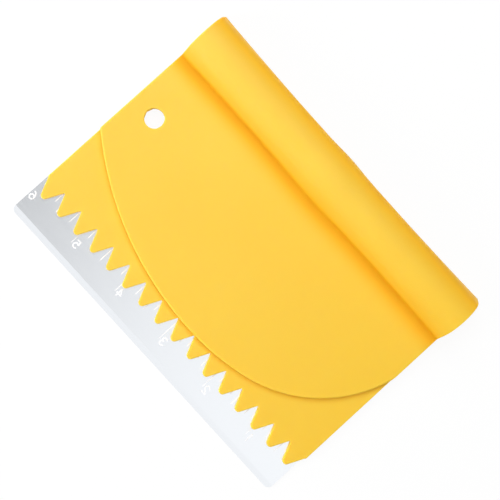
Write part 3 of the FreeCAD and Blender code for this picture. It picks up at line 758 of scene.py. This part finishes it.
def grip_section(x):
    """Closed cross sections of the grip, from its foot on the steel over the crest and back.

    The crest's arcs are the scrapers' own, with smaller radii. In front the hollow's wall stands
    upright, so its lean is zero there.
    """
    station = roll_station(np.abs(x - BLADE_SHIFT) / BLADE_HALF)
    foot, touch, back_touch, back_foot = arch_face(station, GRIP_CREST, BLADE_THICK)
    inner_back, inner_rim = arch_face(station, GRIP_HOLLOW, 0.0)[2:]
    upright = (station[0], np.zeros_like(station[1]), station[2])

    def at(y, z):
        return np.stack([np.full_like(x, y), np.full_like(x, z)], -1)

    wall_y = CREST_LINE - GRIP_HOLLOW
    wall_foot, tang_foot, tang = at(wall_y, 0), at(BLADE_TOP, 0), at(BLADE_TOP, BLADE_THICK)
    wall_top = np.stack([np.full_like(x, wall_y), station[0]], -1)
    foot_arc = corner_arc(tang, foot, touch, GRIP_ROUND, 3)
    rim_out = corner_arc(back_touch, back_foot, inner_rim, GRIP_ROUND, 4)
    rim_in = corner_arc(back_foot, inner_rim, inner_back, GRIP_ROUND, 4)
    heel = corner_arc(wall_top, wall_foot, tang_foot, GRIP_ROUND, 4)
    return np.concatenate([
        foot_arc,
        run_between(foot_arc[:, -1], touch, 3),
        crest_arc(station, GRIP_CREST, GRIP_ARC),
        run_between(back_touch, rim_out[:, 0], 2),
        rim_out,
        rim_in,
        run_between(rim_in[:, -1], inner_back, 2),
        crest_arc(upright, GRIP_HOLLOW, GRIP_ARC)[:, ::-1],
        run_between(wall_top, heel[:, 0], 2),
        heel,
        corner_arc(wall_foot, tang_foot, tang, GRIP_ROUND, 3),
        corner_arc(tang_foot, tang, foot, TANG_ROUND, 2),
    ], 1)


grip_low, grip_high = BLADE_SHIFT - BLADE_HALF, BLADE_SHIFT + BLADE_HALF
grip_steps = np.linspace(grip_low + GRIP_MARGIN, grip_high - GRIP_MARGIN, GRIP_STEPS)
grip_x, grip_in = with_ends(grip_steps, grip_low, grip_high)
grip = make_piece(
    "grip_shell", *closed_tube(grip_x, shrink(grip_section(grip_x), grip_in)),
    YELLOW, "yellow_plastic")
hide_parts("blade_handle")

# %% Pegs
PEG_COUNT, PEG_INSET, PEG_DROP, PEG_SIDES = 7, 8.5, 2.1, 32
PEG_RADII = np.array([1.1, 1.22, 1.33, 1.37, 1.37, 1.2])
PEG_LEVELS = np.array([0.0, 0.0, 0.04, 0.15, 1.2, 1.3])


def pegs():
    """Seven round pegs: the same rings of radius and height, repeated along the blade's top."""
    turn = np.linspace(0, 2 * np.pi, PEG_SIDES, endpoint=False)
    end = BLADE_HALF - PEG_INSET
    middles = BLADE_SHIFT + np.linspace(-end, end, PEG_COUNT)
    shape = (PEG_COUNT, len(PEG_RADII), PEG_SIDES)
    x = middles[:, None, None] + PEG_RADII[:, None] * np.cos(turn)
    y = np.broadcast_to(BLADE_TOP - PEG_DROP + PEG_RADII[:, None] * np.sin(turn), shape)
    points = np.stack([x, y, np.broadcast_to(PEG_LEVELS[:, None], shape)], -1)
    faces = []
    for peg in np.arange(x.size).reshape(shape):
        faces += closed_faces(peg)
    return points.reshape(-1, 3), faces


make_piece("grip_pegs", *pegs(), YELLOW, "yellow_plastic")

# %% [markdown]
# ## The steel blade
# The sheet itself is flat with a ground strip along the edge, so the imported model's blade stays and
# only gets its finish. Brushing runs along the tool: noise that is 150 times finer along Y than
# along X gives the fine lines, which vary both the colour and the gloss.

# %% Brushed steel
BRUSH_SCALE = (60.0, 9000.0, 200.0)
STEEL_DARK, STEEL_PALE = (0.915, 0.945, 0.985), (0.945, 0.97, 1.0)


def brushed_steel():
    """Full metal whose colour and roughness follow noise on (60 x, 9000 y, 200 z)."""
    material, tree, shader = new_material("brushed_steel")
    place = add_node(tree, "ShaderNodeTexCoord").outputs["Object"]
    stretch = add_node(tree, "ShaderNodeMapping", Scale=BRUSH_SCALE)
    tree.links.new(place, stretch.inputs["Vector"])
    lines = noise(tree, stretch.outputs["Vector"], 1.0, 3.0)
    shader.inputs["Metallic"].default_value = 1.0
    color = blend_colors(tree, ramp(tree, lines, 0.0, 1.0), STEEL_DARK, STEEL_PALE)
    tree.links.new(color, shader.inputs["Base Color"])
    tree.links.new(ramp(tree, lines, 0.20, 0.26), shader.inputs["Roughness"])
    add_bump(tree, shader, lines, 0.03, 0.00002)
    return material


STEEL = brushed_steel()
nodes["blade"].data.materials.clear()
nodes["blade"].data.materials.append(STEEL)
print("material:", STEEL.name)

# %% [markdown]
# ## The inch scale on the steel
# The sheet carries white marks: a long line at each inch, shorter ones between, and a figure to the
# right of each inch line. On this blade the scale reads from right to left and its figures are
# mirror images. An image would blur close up, so each mark is a flat bar with round ends, carried
# along its line and a hair above the steel.

# %% Bars along a line
BAR_SUNK, CAP_ANGLES = 0.05, np.radians([12, 35, 62])


def stroke(path, width, proud=0.02):
    """A flat bar along a path: half the width to both sides, standing proud of the steel.

    At an end the bar continues by h cos a while its half width is h sin a, which rounds it.
    """
    half, caps = width / 2, len(CAP_ANGLES)
    ahead = np.gradient(path, axis=0)
    ahead /= np.linalg.norm(ahead, axis=1, keepdims=True)
    start = path[0] - ahead[0] * half * np.cos(CAP_ANGLES)[:, None]
    end = (path[-1] + ahead[-1] * half * np.cos(CAP_ANGLES)[:, None])[::-1]
    line = np.concatenate([start, path, end])
    ahead = np.concatenate([np.repeat(ahead[:1], caps, 0), ahead, np.repeat(ahead[-1:], caps, 0)])
    wide = np.concatenate([np.sin(CAP_ANGLES), np.ones(len(path)), np.sin(CAP_ANGLES)[::-1]])
    side = np.stack([-ahead[:, 1], ahead[:, 0]], -1) * half * wide[:, None]
    low, high = BLADE_THICK - BAR_SUNK, BLADE_THICK + proud
    corners = [(side, low), (side, high), (-side, high), (-side, low)]
    ring = [np.column_stack([line + move, np.full(len(line), level)]) for move, level in corners]
    return np.stack(ring, 1)


def arc_path(x, y, wide, tall, start, end, count=14):
    """Arc of an ellipse: centre plus (wide cos a, tall sin a), angles in degrees."""
    angle = np.radians(np.linspace(start, end, count))
    return np.column_stack([x + wide * np.cos(angle), y + tall * np.sin(angle)])


def line_path(*corners):
    """The corners of a line as an array."""
    return np.array(corners, float)


def join_strokes(strokes):
    """All bars as one list of points, with the faces of each counted on from the one before."""
    points, faces, start = [], [], 0
    for bar in strokes:
        index = start + np.arange(bar.shape[0] * 4).reshape(-1, 4)
        faces += closed_faces(index)
        points.append(bar.reshape(-1, 3))
        start += index.size
    return np.concatenate(points), faces


print("points in a short bar:", stroke(line_path((0, 0), (0, 1)), 0.3).shape[:2])

# %% Marks and figures
INCH, FIRST_INCH, EIGHTHS = 25.4, 77.2, 48
INCH_LOW, HALF_LOW, QUARTER_LOW, EIGHTH_LOW, MARK_HIGH = 8.4, 12.0, 13.4, 14.6, 22.0
MARK_WIDTH, MARK_MARGIN = 0.28, 0.6
FIGURE_ASIDE, FIGURE_Y, FIGURE_TILT = 2.0, 8.95, -0.0115
FIGURE_WIDTH, FIGURE_PROUD, FIGURE_RISE = 0.55, 0.02, 0.008
FIGURES = {
    1: [line_path((-0.6, 1.05), (0.05, 1.65)), line_path((0.05, 1.65), (0.05, -1.65))],
    2: [arc_path(0, 0.7, 0.95, 0.95, 165, -38), line_path((0.75, 0.1), (-0.95, -1.65)),
        line_path((-0.95, -1.65), (1.0, -1.65))],
    3: [arc_path(0, 0.82, 0.88, 0.83, 150, -85), arc_path(0, -0.78, 0.98, 0.87, 88, -150)],
    4: [line_path((0.45, -1.65), (0.45, 1.65)), line_path((0.45, 1.65), (-1.05, -0.7)),
        line_path((-1.05, -0.7), (1.05, -0.7))],
    5: [line_path((0.85, 1.6), (-0.65, 1.6)), line_path((-0.65, 1.6), (-0.8, 0.25)),
        arc_path(-0.02, -0.6, 1.0, 1.05, 140, -145)],
    6: [arc_path(0, -0.68, 0.95, 0.97, 180, 540, 24), arc_path(0.55, -0.6, 1.5, 2.2, 180, 92)],
}


def figure_strokes():
    """Each figure, mirrored, beside its inch line; its bars lie a little over one another."""
    strokes = []
    for figure, paths in FIGURES.items():
        middle = FIRST_INCH + FIGURE_ASIDE - INCH * figure
        place = [middle, FIGURE_Y + FIGURE_TILT * middle]
        for rank, path in enumerate(paths):
            proud = FIGURE_PROUD + FIGURE_RISE * rank
            strokes.append(stroke(path * [-1, 1] + place, FIGURE_WIDTH, proud))
    return strokes


def mark_strokes():
    """A line at each eighth of an inch: longest at the inch, then at the half and the quarter."""
    strokes = []
    for eighth in range(1, EIGHTHS + 1):
        x = FIRST_INCH - INCH * eighth / 8
        other = QUARTER_LOW if eighth % 2 == 0 else EIGHTH_LOW
        low = {0: INCH_LOW, 4: HALF_LOW}.get(eighth % 8, other)
        if abs(x - BLADE_SHIFT) < BLADE_HALF - MARK_MARGIN:
            strokes.append(stroke(line_path((x, low), (x, MARK_HIGH)), MARK_WIDTH))
    return strokes


def etched_white():
    """Matt white whose colour and roughness follow fine noise."""
    material, tree, shader = new_material("etched_white")
    place = add_node(tree, "ShaderNodeTexCoord").outputs["Object"]
    speck = noise(tree, place, 1800.0, 2.0)
    color = blend_colors(tree, ramp(tree, speck, 0.0, 1.0), (0.86, 0.87, 0.88), (0.97, 0.97, 0.97))
    tree.links.new(color, shader.inputs["Base Color"])
    tree.links.new(ramp(tree, speck, 0.45, 0.65), shader.inputs["Roughness"])
    return material


scale_bars = join_strokes(figure_strokes() + mark_strokes())
make_piece("inch_scale", *scale_bars, etched_white(), "steel", smooth=False)

# %% [markdown]
# ## The table
# The tool lies on a plain white table. To the camera and in reflections the table is nearly plain
# white, which Light Path's ray kinds tell apart, but a small part of it stays a lit surface, and
# keeps the tool's soft shadow.

# %% Table
TABLE_PLAIN, TABLE_COLOR = 0.92, (0.93, 0.93, 0.93, 1.0)
TABLE_HALF, TABLE_Z = 2.5, -0.00005
PLAIN_WHITE = {"Color": (1.0, 1.0, 1.0, 1.0), "Strength": 1.0}


def mix_shaders(tree, share, first, second, output_kind):
    """First shader times (1 - share) plus second shader times share, handed to the output."""
    mix = add_node(tree, "ShaderNodeMixShader")
    for socket, value in zip(mix.inputs, (share, first, second)):
        tree.links.new(value, socket)
    tree.links.new(mix.outputs[0], add_node(tree, output_kind).inputs["Surface"])


def white_table():
    """Lit white, blended to plain white by 0.92 for camera, glossy and transmission rays."""
    material, tree, _ = new_material("white_table")
    tree.nodes.clear()
    lit = add_node(tree, "ShaderNodeBsdfDiffuse", Color=TABLE_COLOR)
    plain = add_node(tree, "ShaderNodeEmission", **PLAIN_WHITE)
    rays = add_node(tree, "ShaderNodeLightPath").outputs
    seen = calc(tree, "ADD", rays["Is Camera Ray"], rays["Is Glossy Ray"], clamp=True)
    seen = calc(tree, "ADD", seen, rays["Is Transmission Ray"], clamp=True)
    share = calc(tree, "MULTIPLY", seen, TABLE_PLAIN)
    mix_shaders(tree, share, lit.outputs[0], plain.outputs[0], "ShaderNodeOutputMaterial")
    return material


def make_table():
    """One square just under the tool."""
    corners = np.array([(-1, -1), (1, -1), (1, 1), (-1, 1)]) * TABLE_HALF
    mesh = bpy.data.meshes.new("table")
    mesh.from_pydata([(x, y, TABLE_Z) for x, y in corners], [], [(0, 1, 2, 3)])
    mesh.materials.append(white_table())
    table = add_object("table", mesh)
    print(f"table: {2 * TABLE_HALF:.0f} m wide")


make_table()

# %% [markdown]
# ## The light tent
# Small products are shot in a white tent, which gives soft light from all sides. The tent's ceiling
# is bright, and a dark opening in it, a little to the left, is what the steel mirrors as a soft
# grey. The world's colour could be an image, but two round patches are enough. To the camera the
# tent is plain white.

# %% Sky
CEILING = {"centre": (0.22, -0.15, 1.0), "wide": 55, "narrow": 10, "strength": 0.785}
OPENING = {"centre": (-0.23, -0.05, 1.0), "wide": 15.5, "narrow": 0, "strength": -0.75}
LIT_LEVEL, MIRRORED_LEVEL, MIRRORED_CEILING = 0.215, 0.50, 0.64


def sky_patch(tree, direction, centre, wide, narrow, strength):
    """Light of a soft patch: strength inside the narrow angle, none beyond the wide one.

    The cosine of the angle from the patch's centre is the dot product of the two directions.
    """
    towards = add_node(tree, "ShaderNodeVectorMath", operation="DOT_PRODUCT")
    towards.inputs[1].default_value = np.array(centre) / np.linalg.norm(centre)
    tree.links.new(direction, towards.inputs[0])
    edge, core = math.cos(math.radians(wide)), math.cos(math.radians(narrow))
    return ramp(tree, towards.outputs["Value"], 0.0, strength, edge, core)


def make_sky():
    """Light level: 0.215 plus a bright ceiling, minus the dark opening.

    Metal mirrors a paler tent, so that it shows the white surroundings: 0.50 + 0.64 times the
    ceiling, minus the opening.
    """
    world = bpy.data.worlds.new("tent")
    bpy.context.scene.world = world
    world.use_nodes = True
    tree = world.node_tree
    tree.nodes.clear()
    direction = add_node(tree, "ShaderNodeTexCoord").outputs["Generated"]
    ceiling = sky_patch(tree, direction, **CEILING)
    opening = sky_patch(tree, direction, **OPENING)
    lit = calc(tree, "ADD", calc(tree, "ADD", ceiling, LIT_LEVEL), opening)
    pale = calc(tree, "ADD", calc(tree, "MULTIPLY", ceiling, MIRRORED_CEILING), MIRRORED_LEVEL)
    mirrored = calc(tree, "ADD", pale, opening)
    rays = add_node(tree, "ShaderNodeLightPath").outputs
    shiny = calc(tree, "ADD", rays["Is Glossy Ray"], rays["Is Transmission Ray"], clamp=True)
    extra = calc(tree, "MULTIPLY", shiny, calc(tree, "SUBTRACT", mirrored, lit))
    light, plain = (add_node(tree, "ShaderNodeBackground", **PLAIN_WHITE) for _ in range(2))
    tree.links.new(calc(tree, "ADD", lit, extra), light.inputs["Strength"])
    mix_shaders(
        tree, rays["Is Camera Ray"], light.outputs[0], plain.outputs[0], "ShaderNodeOutputWorld")
    print("world:", world.name)


make_sky()

# %% [markdown]
# ## The lamps
# A large lamp stands behind on the left and rounds the roll, and a small low one in front on the
# left lights the edges of the plates. Round area lamps give soft shadows without visible corners.

# %% Lamps
def make_lamp(name, place, size, power):
    """A round area lamp at a place in metres, facing the tool.

    Its three axes are the direction away from the tool and two cross products square to it.
    """
    lamp = bpy.data.lights.new(name, "AREA")
    lamp.shape = "DISK"
    lamp.size = size
    lamp.energy = power
    back = np.array(place) / np.linalg.norm(place)
    side = np.cross((0.0, 1.0, 0.0), back)
    side /= np.linalg.norm(side)
    turned = Matrix(np.column_stack([side, np.cross(back, side), back]).tolist())
    add_object(name, lamp).matrix_world = Matrix.Translation(place) @ turned.to_4x4()
    print(f"{name}: {size} m wide, {power} W")


make_lamp("back_lamp", (-0.42, 0.46, 0.75), size=1.0, power=6.8)
make_lamp("front_lamp", (-0.32, -0.50, 0.20), size=0.35, power=2.6)

# %% [markdown]
# ## Camera
# The camera looks almost straight down from half a metre, turned so that the cutting edge runs
# down to the right. Its place and its three small tilts were fitted to the tool's corners, tooth
# tips and hole.

# %% Camera
PHOTO_TURN = math.radians(48.2)
LENS, SENSOR = 93.6, 36.0
CAMERA_PLACE = (-0.02808, -0.024525, 0.51071)
CAMERA_TILTS = ((-0.0519, "X"), (0.0533, "Y"), (0.0072, "Z"))


def make_camera():
    """Place the camera: its rotation is the transpose of the turn times the three tilts."""
    camera = bpy.data.cameras.new("camera")
    camera.lens, camera.sensor_width = LENS, SENSOR
    turn = Matrix.Rotation(-PHOTO_TURN, 3, "Z")
    for angle, axis in CAMERA_TILTS:
        turn = turn @ Matrix.Rotation(angle, 3, axis)
    holder = add_object("camera", camera)
    holder.matrix_world = Matrix.Translation(CAMERA_PLACE) @ turn.transposed().to_4x4()
    bpy.context.scene.camera = holder
    print(f"camera: {LENS} mm lens, {CAMERA_PLACE[2]:.2f} m above the table")


make_camera()
bpy.context.scene.view_settings.view_transform = "Standard"
